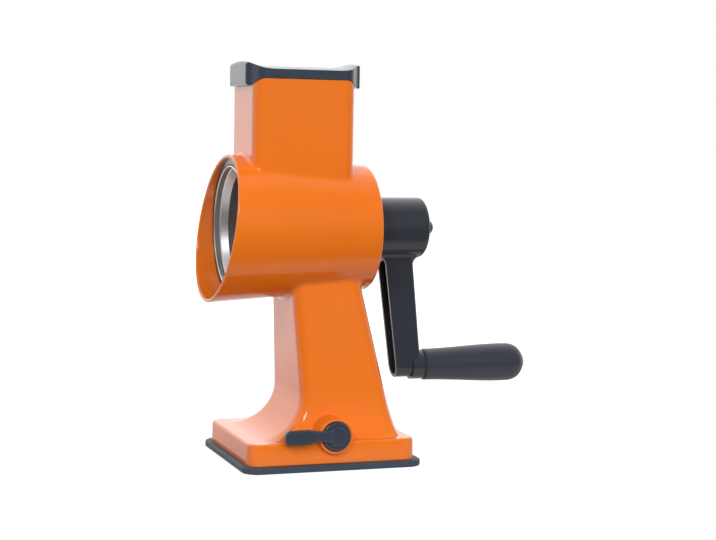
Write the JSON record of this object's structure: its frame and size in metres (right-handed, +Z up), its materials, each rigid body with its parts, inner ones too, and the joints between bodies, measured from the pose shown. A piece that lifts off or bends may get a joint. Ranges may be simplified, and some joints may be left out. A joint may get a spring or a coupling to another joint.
{
  "type": "rotary cabbage shredder",
  "caption": "Hand-cranked rotary shredder: tapered drum housing with top hopper and pusher, slotted drum, side crank with turning grip, pedestal on a lever-locked suction base.",
  "frame": {"origin": "centre of the suction pad's flat underside, on the table", "axes": "+X along the drum's axis towards the crank, so the drum's mouth faces -X; +Y away from the suction lever's side; +Z up, out of the hopper"},
  "size_m": [0.2625, 0.1322, 0.2999],
  "materials": {
    "orange_shell": "glossy moulded orange",
    "dark_plastic": "semi-gloss moulded, dark blue grey",
    "grip_plastic": "satin moulded, dark grey",
    "rubber": "matt soft rubber",
    "drum_steel": "bright stainless sheet",
    "steel": "plain steel",
    "pale_bush": "unpainted bearing plastic"
  },
  "bodies": {
    "stand": {"body_shell": "orange_shell", "base_plate": "dark_plastic", "base_screws": "steel", "suction_pad": "rubber", "pad_membrane": "rubber", "front_cam_bush": "dark_plastic", "rear_cam_bush": "pale_bush", "shaft_bush": "pale_bush", "thrust_washer": "pale_bush", "rim_guide": "dark_plastic"},
    "crank": {"crank_arm": "dark_plastic", "crank_nut": "dark_plastic", "drive_shaft": "steel", "shaft_clip": "steel", "grip_spindle": "steel", "grip_clip": "steel"},
    "grip": {"grip_sleeve": "grip_plastic", "grip_end_cap": "grip_plastic"},
    "drum": {"drum_shell": "drum_steel", "drum_front_ring": "drum_steel", "drum_hub": "dark_plastic", "drum_rivets": "drum_steel"},
    "pusher": {"pusher_cap": "dark_plastic", "pusher_plunger": "dark_plastic"},
    "lever": {"suction_lever": "dark_plastic", "camshaft": "steel", "cam_clip": "steel"},
    "lift": {"lift_stud": "dark_plastic", "lift_plate": "dark_plastic", "stud_pin": "steel"}
  },
  "joints": [
    {"name": "crank_spin", "type": "hinge", "parent": "stand", "child": "crank", "pos_m": [0.05, 0, 0.1756], "axis": [1, 0, 0], "continuous": true},
    {"name": "grip_spin", "type": "hinge", "parent": "crank", "child": "grip", "pos_m": [0.1, 0, 0.0678], "axis": [1, 0, 0], "continuous": true},
    {"name": "drum_slide", "type": "slide", "parent": "crank", "child": "drum", "axis": [-1, 0, 0], "range_m": [0, 0.12]},
    {"name": "pusher_slide", "type": "slide", "parent": "stand", "child": "pusher", "axis": [0, 0, 1], "range_m": [0, 0.09]},
    {"name": "lever_turn", "type": "hinge", "parent": "stand", "child": "lever", "pos_m": [0, -0.064, 0.0253], "axis": [0, 1, 0], "range_deg": [0, 90]},
    {"name": "pad_lift", "type": "slide", "parent": "stand", "child": "lift", "axis": [0, 0, 1], "range_m": [-0.0035, 0], "deforming": ["pad_membrane"]}
  ],
  "couplings": [
    {"joint": "lever_turn", "follows": "pad_lift", "rad_per_m": -448.79}
  ]
}
